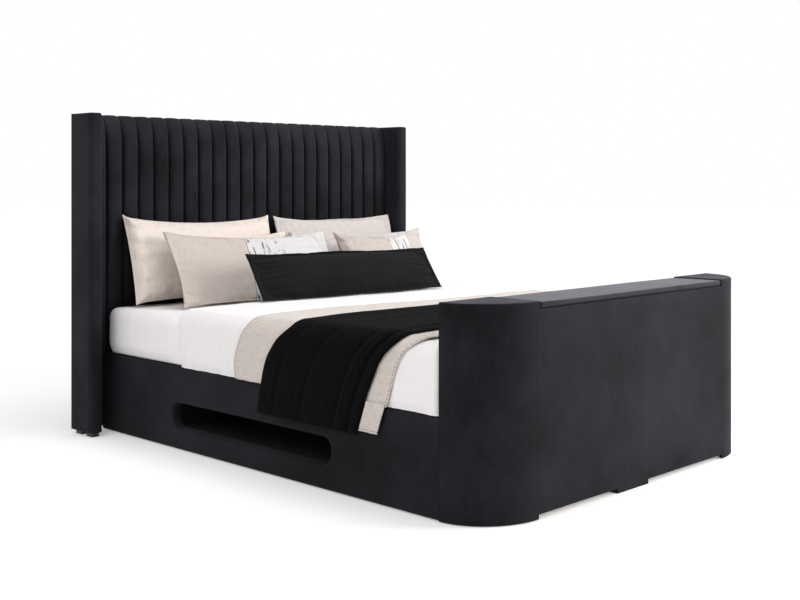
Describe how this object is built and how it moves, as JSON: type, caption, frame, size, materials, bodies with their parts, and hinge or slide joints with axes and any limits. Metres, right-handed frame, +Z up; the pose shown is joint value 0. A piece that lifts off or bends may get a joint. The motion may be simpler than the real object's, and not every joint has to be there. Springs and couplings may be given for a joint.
{
  "type": "television bed",
  "caption": "Upholstered bed with a channelled wing headboard, a side media slot and a footboard whose hinged lid opens for a rising television bracket.",
  "frame": {"origin": "on the floor, under the centre of the bounding box", "axes": "+Z up, +Y towards the headboard, +X to the right of someone facing the headboard"},
  "size_m": [1.966, 2.298, 1.411],
  "materials": {
    "charcoal_velvet": "charcoal velvet upholstery over foam",
    "lid_velvet": "charcoal velvet, pile brushed flat",
    "board": "plain particle board",
    "pine": "planed pine",
    "birch": "sprung birch plywood",
    "lining": "thin black dust cloth",
    "media_black": "black laminated board",
    "black_plastic": "moulded black plastic",
    "grey_plastic": "moulded grey plastic",
    "zinc_steel": "zinc-plated steel",
    "black_steel": "powder-coated steel",
    "grey_steel": "grey powder-coated steel",
    "rubber": "soft rubber",
    "white_cotton": "white cotton",
    "linen": "beige linen",
    "print_linen": "beige and white linen with a brushed stripe print",
    "black_knit": "black woven wool"
  },
  "bodies": {
    "bed": {"headboard_board": "board", "headboard_channel_pad": "charcoal_velvet", "headboard_lower_pad": "charcoal_velvet", "headboard_back_cover": "lining", "left_wing_core": "board", "right_wing_core": "board", "left_wing_pad": "charcoal_velvet", "right_wing_pad": "charcoal_velvet", "feet_and_glides": "black_plastic", "left_rail_board": "board", "right_rail_board": "board", "left_rail_pad": "charcoal_velvet", "right_rail_pad": "charcoal_velvet", "slat_ledgers": "pine", "media_floor": "media_black", "media_housing": "media_black", "centre_rail": "pine", "centre_legs": "black_steel", "slats": "birch", "slat_holders": "black_plastic", "crossbars": "pine", "corner_brackets": "zinc_steel", "bracket_bolts": "zinc_steel", "footboard_outer_board": "board", "footboard_outer_pad": "charcoal_velvet", "footboard_inner_board": "board", "footboard_inner_pad": "charcoal_velvet", "footboard_floor": "board", "footboard_partitions": "board", "end_caps": "lid_velvet", "footboard_centre_foot": "black_plastic", "lid_bumpers": "rubber", "lid_hinge_fixed_leaf": "zinc_steel", "lid_hinge_pin": "zinc_steel", "lift_base_plate": "black_steel", "lift_outer_column": "grey_steel", "lift_spindle": "zinc_steel", "lift_gearbox": "grey_plastic", "lift_motor": "black_steel", "control_box": "grey_plastic", "power_inlet": "black_plastic", "mattress": "white_cotton", "duvet": "white_cotton", "bedspread": "linen", "throw": "black_knit", "pillow_back_left": "linen", "pillow_back_right": "linen", "pillow_mid_left": "linen", "pillow_mid_right": "linen", "cushion_left": "print_linen", "cushion_right": "print_linen", "bolster": "black_knit"},
    "lift_middle": {"lift_middle_column": "grey_steel", "lift_nut": "grey_plastic"},
    "lift_inner": {"lift_inner_column": "grey_steel", "tv_bracket_plate": "black_steel", "tv_arms": "black_steel"},
    "lid": {"lid_board": "board", "lid_pad": "lid_velvet", "lid_hinge_moving_leaf": "zinc_steel"}
  },
  "joints": [
    {"name": "lift_middle_slide", "type": "slide", "parent": "bed", "child": "lift_middle", "axis": [0, 0, 1], "range_m": [0, 0.3]},
    {"name": "lift_inner_slide", "type": "slide", "parent": "lift_middle", "child": "lift_inner", "axis": [0, 0, 1], "range_m": [0, 0.3]},
    {"name": "lid_hinge", "type": "hinge", "parent": "bed", "child": "lid", "pos_m": [0, -1.145, 0.6995], "axis": [1, 0, 0], "range_deg": [0, 100]}
  ],
  "couplings": [
    {"joint": "lift_inner_slide", "follows": "lift_middle_slide", "ratio": 1},
    {"joint": "lid_hinge", "follows": "lift_middle_slide", "rad_per_m": 5.8177}
  ]
}
